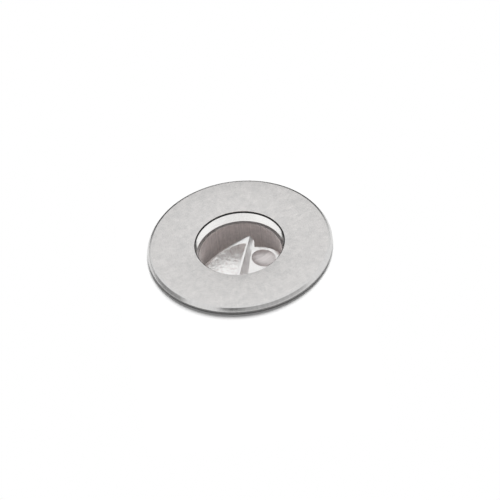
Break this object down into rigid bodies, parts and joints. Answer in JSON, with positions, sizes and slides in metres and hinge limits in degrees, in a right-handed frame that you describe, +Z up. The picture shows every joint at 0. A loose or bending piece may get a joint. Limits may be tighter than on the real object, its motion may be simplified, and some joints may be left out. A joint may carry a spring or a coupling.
{
  "type": "recessed ground light",
  "caption": "Round in-ground light: stainless trim ring with flush window, finned housing with a turning peaked reflector, and a buried sleeve.",
  "frame": {"origin": "on the lamp's centre line at the finished ground, level with the underside of the trim ring", "axes": "+Z up out of the ground along the lamp's centre line, +Y towards the sleeve's open cable entry"},
  "size_m": [0.12, 0.12, 0.109],
  "materials": {
    "ring_steel": "turned and satin brushed stainless steel",
    "clear_glass": "clear toughened glass",
    "black_silicone": "black silicone rubber",
    "grey_silicone": "grey silicone rubber",
    "housing_paint": "black powder coated die-cast aluminium",
    "screw_steel": "stainless screws",
    "plated_brass": "nickel plated brass",
    "black_nylon": "black moulded nylon",
    "spring_steel": "stainless spring strip",
    "board_green": "green solder mask on glass-fibre board",
    "board_white": "white solder mask on aluminium board",
    "part_black": "black moulded component",
    "winding_copper": "enamelled copper winding",
    "terminal_grey": "grey moulded terminal",
    "lead_insulation": "silicone insulated lead",
    "bare_aluminium": "bare machined aluminium",
    "shade_finish": "dark satin anodised aluminium",
    "reflector_finish": "satin metallised reflector",
    "led_phosphor": "light source with lens",
    "sleeve_plastic": "dark grey moulded polypropylene",
    "foam_grey": "closed-cell foam",
    "grommet_rubber": "soft black rubber"
  },
  "bodies": {
    "sleeve": {"recess_sleeve": "sleeve_plastic", "drain_base": "sleeve_plastic", "rim_seal": "foam_grey", "cable_grommet": "grommet_rubber", "entry_plug": "sleeve_plastic"},
    "light_unit": {"trim_ring": "ring_steel", "window_glass": "clear_glass", "window_bead": "black_silicone", "window_gasket": "grey_silicone", "lamp_housing": "housing_paint", "face_seal": "black_silicone", "ring_screws": "screw_steel", "rear_cover": "housing_paint", "cover_seal": "black_silicone", "cover_screws": "screw_steel", "gland_washer": "black_silicone", "gland_body": "plated_brass", "gland_insert": "grommet_rubber", "gland_nut": "plated_brass", "gland_locknut": "plated_brass", "vent_plug": "black_nylon", "driver_posts": "plated_brass", "driver_board": "board_green", "driver_screws": "screw_steel", "smoothing_capacitor": "part_black", "choke": "winding_copper", "driver_chip": "part_black", "terminal_block": "terminal_grey", "led_leads": "lead_insulation", "retaining_springs": "spring_steel", "spring_screws": "screw_steel", "optic_circlip": "spring_steel"},
    "optic": {"optic_carrier": "black_nylon", "heat_spreader": "bare_aluminium", "optic_screws": "screw_steel", "shade_cup": "shade_finish", "led_board": "board_white", "led_emitters": "led_phosphor", "reflector": "reflector_finish"}
  },
  "joints": [
    {"name": "lift_out", "type": "slide", "parent": "sleeve", "child": "light_unit", "axis": [0, 0, 1], "range_m": [0, 0.095]},
    {"name": "optic_turn", "type": "hinge", "parent": "light_unit", "child": "optic", "pos_m": [0, 0, -0.03], "axis": [0, 0, 1], "range_deg": [-170, 170]}
  ]
}
